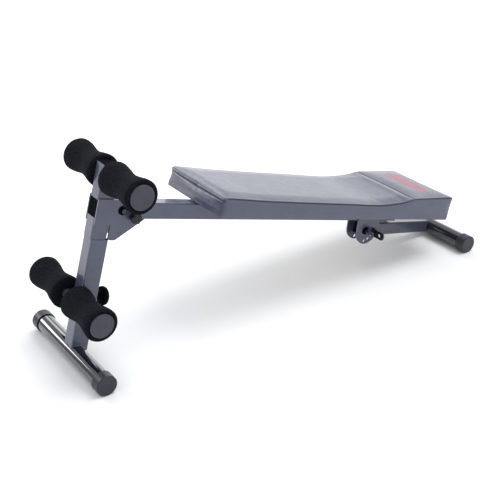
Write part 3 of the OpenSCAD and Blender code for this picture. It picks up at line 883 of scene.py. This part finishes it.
def foam_profile(inner, outer, bore, full, slim, disc_radius, recess):
    """Closed (along, radius) outline of one foam grip, from its inner end to its outer end."""
    inner_round, outer_round = 6 * MM, 5 * MM
    length = outer - inner

    def skin(along):
        return full - (full - slim) * math.sin(math.pi * (along - inner) / length) ** 2

    outline = [(inner, bore), (inner, (bore + full) / 2)]
    for k in range(9):
        angle = math.pi / 2 * k / 8
        along = inner + inner_round * (1 - math.cos(angle))
        outline.append((along, skin(along) - inner_round * (1 - math.sin(angle))))
    steps = 44
    first, last = inner + inner_round, outer - outer_round
    for k in range(1, steps):
        along = first + (last - first) * k / steps
        outline.append((along, skin(along)))
    for k in range(9):
        angle = math.pi / 2 * k / 8
        along = last + outer_round * math.sin(angle)
        inward = outer_round * (1 - math.cos(angle))
        outline.append((along, max(skin(along) - inward, disc_radius + 1.2 * MM)))
    lip = disc_radius + 0.8 * MM
    collar, back = bore + 3.5 * MM, outer - 6 * MM
    return outline + [(outer - 0.4 * MM, lip), (recess, lip), (recess, collar), (back, collar), (back, bore)]


def make_foam(level, side, materials):
    """Foam grip of one roller, with a slim waist and soft ends."""
    name = f"{level}_{side}"
    node = nodes[f"{name}_foam"]
    axis = Vector(joints[f"{name}_spin"]["pos_m"])
    sign = -1 if side == "right" else 1
    spots = []
    for vertex in node.data.vertices:
        spots.append((abs(vertex.co.y), math.hypot(vertex.co.x - axis.x, vertex.co.z - axis.z)))
    inner, outer = min(s[0] for s in spots), max(s[0] for s in spots)
    middle = (inner + outer) / 2
    full = max(s[1] for s in spots)
    slim = max(s[1] for s in spots if abs(s[0] - middle) < 3 * MM)
    bore = min(s[1] for s in spots)
    low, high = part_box(f"{name}_end_disc")
    disc_radius = (high[2] - low[2]) / 2
    recess = outer - 3 * MM
    profile = foam_profile(inner, outer, bore, full, slim, disc_radius, recess)

    def place(along, radius, angle):
        point = Vector((axis.x + radius * math.cos(angle), sign * along, axis.z + radius * math.sin(angle)))
        if radius > disc_radius + 2 * MM:
            lump = 0.35 * MM * noise.noise(point * 55) + 0.12 * MM * noise.noise(point * 260)
            outward = Vector((math.cos(angle), 0, math.sin(angle)))
            point += outward * (lump - 0.3 * MM)
        return point

    piece = add_piece(f"{name}_foam_grip", lathe(profile, 128, place), materials["roller_foam"],
                      f"{name}_roller")
    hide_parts(f"{name}_foam")


def make_foams(materials):
    for level in ("upper", "lower"):
        for side in ("right", "left"):
            make_foam(level, side, materials)


# ---- Welds ----

FOOT_BEAD_R = 1.7 * MM
FOOT_BEAD_GAP = 0.3 * MM
FOOT_BEAD_CORNER = 3.5 * MM
FILLET_R = 1.3 * MM


def bead(mesh, points, radius, closed=False):
    """Weld bead with the ripples of its passes."""
    tube_along(mesh, points, lambda i: radius * (1 + 0.16 * math.sin(i * 1.9)), sides=8, closed=closed)


def straight_line(start, end, spacing=1.6 * MM):
    start, end = Vector(start), Vector(end)
    count = max(2, int((end - start).length / spacing))
    return [to_row(start.lerp(end, k / count)) for k in range(count + 1)]


def rectangle_ring(half_a, half_b, corner, spacing=1.6 * MM):
    """Points (a, b) round a rectangle with rounded corners."""
    points = []
    for quarter in range(4):
        turn = quarter * math.pi / 2
        out, aside = (half_a, half_b) if quarter % 2 == 0 else (half_b, half_a)
        flat = aside - corner
        flat_steps = int(2 * flat / spacing)
        local = [(out, -flat + 2 * flat * k / flat_steps) for k in range(flat_steps)]
        for k in range(4):
            angle = math.pi / 2 * k / 4
            local.append((out - corner + corner * math.cos(angle), flat + corner * math.sin(angle)))
        for a, b in local:
            points.append((a * math.cos(turn) - b * math.sin(turn), a * math.sin(turn) + b * math.cos(turn)))
    return points


def make_upright_foot_weld(materials):
    """Saddle weld where the upright meets the front stabilizer."""
    low, high = bench_box("front_stabilizer")
    tube = (high.x - low.x) / 2
    centre_x, centre_z = (low.x + high.x) / 2, (low.z + high.z) / 2
    foot_low, foot_high = bench_box("lower_upright")
    middle_x = (foot_low.x + foot_high.x) / 2
    half_x, half_y = (foot_high.x - foot_low.x) / 2 + FOOT_BEAD_GAP, foot_high.y + FOOT_BEAD_GAP
    mesh = bmesh.new()
    ring = []
    for a, b in rectangle_ring(half_x, half_y, FOOT_BEAD_CORNER):
        aside = min(abs(middle_x + a - centre_x), tube)
        saddle = centre_z + math.sqrt(tube ** 2 - aside ** 2)
        ring.append(to_row((middle_x + a, b, max(saddle, foot_low.z + 2 * MM))))
    bead(mesh, ring, FOOT_BEAD_R, closed=True)
    add_piece("upright_foot_weld", mesh, materials["frame_paint"], "front_frame")


def make_leg_foot_weld(materials):
    """Saddle weld where the rear leg meets the rear stabilizer, a tube of the front one's size."""
    front_low, front_high = bench_box("front_stabilizer")
    tube = (front_high.x - front_low.x) / 2
    low, high = bench_box("rear_stabilizer")
    centre_x, centre_z = (low.x + high.x) / 2, (low.z + high.z) / 2
    half = bench_box("rear_leg")[1].y + FOOT_BEAD_GAP
    mesh = bmesh.new()
    ring = []
    for a, b in rectangle_ring(half, half, FOOT_BEAD_CORNER):
        saddle = centre_x - math.sqrt(tube ** 2 - min(abs(a), tube) ** 2)
        ring.append(to_row((saddle, b, centre_z + a)))
    bead(mesh, ring, FOOT_BEAD_R, closed=True)
    add_piece("leg_foot_weld", mesh, materials["frame_paint"], "leg_frame")


def make_post_welds(materials):
    """Fillet welds of the post on the gusset plates."""
    plate_low, plate_high = bench_box("left_gusset_plate")
    post_low, post_high = bench_box("upper_post")
    z = plate_high.z
    mesh = bmesh.new()
    for sign in (-1, 1):
        y = sign * plate_low.y
        bead(mesh, straight_line((post_low.x + 3 * MM, y, z), (post_high.x - 3 * MM, y, z)), FILLET_R)
        bead(mesh, straight_line((post_high.x, y, post_low.z + 4 * MM), (post_high.x, y, z)), FILLET_R)
    add_piece("post_welds", mesh, materials["frame_paint"], "front_frame")


def make_beam_welds(materials):
    """Fillet welds of the pad plates and the sector plates on the beam."""
    mesh = bmesh.new()
    beam_half = bench_box("main_beam")[1].y
    z = -0.4 * MM
    for name in ("front_pad_plate", "middle_pad_plate", "rear_pad_plate"):
        low, high = bench_box(name)
        for sign in (-1, 1):
            y = sign * (beam_half - 0.6 * MM)
            bead(mesh, straight_line((low.x + 3 * MM, y, z), (high.x - 3 * MM, y, z)), FILLET_R)
    for name, sign in (("right_sector_plate", -1), ("left_sector_plate", 1)):
        low, high = bench_box(name)
        y = sign * (beam_half + 0.4 * MM)
        bead(mesh, straight_line((low.x + 2 * MM, y, high.z), (high.x - 8 * MM, y, high.z)), FILLET_R)
    add_piece("beam_welds", mesh, materials["frame_paint"], "main_frame")


add_camera()
add_world()
add_floor()
add_sun()
add_softbox("rear_panel", (2.3, 2.7, 0.75), (0.0, 0.0, 0.3), (3.4, 1.3), 15)
add_softbox("streak_panel", (-1.6, 2.6, 1.2), (-0.5, 0.0, 0.05), (1.3, 0.65), 24)
add_softbox("high_panel", (0.6, 2.4, 1.95), (-0.2, 0.0, 0.3), (1.7, 0.9), 14)
bpy.context.scene.view_settings.view_transform = "Standard"

all_materials = make_materials()
dress_frame(all_materials)
pad_cover = make_pad_cover(all_materials)
find_top = surface_finder(pad_cover)
# Dark cords in the seam grooves: painted shade of the grooves.
make_seam_shade_cords(find_top, all_materials)
make_stitches(find_top, all_materials)
make_printed_mark(find_top, all_materials)
make_staples(all_materials)
make_foams(all_materials)
make_upright_foot_weld(all_materials)
make_leg_foot_weld(all_materials)
make_post_welds(all_materials)
make_beam_welds(all_materials)
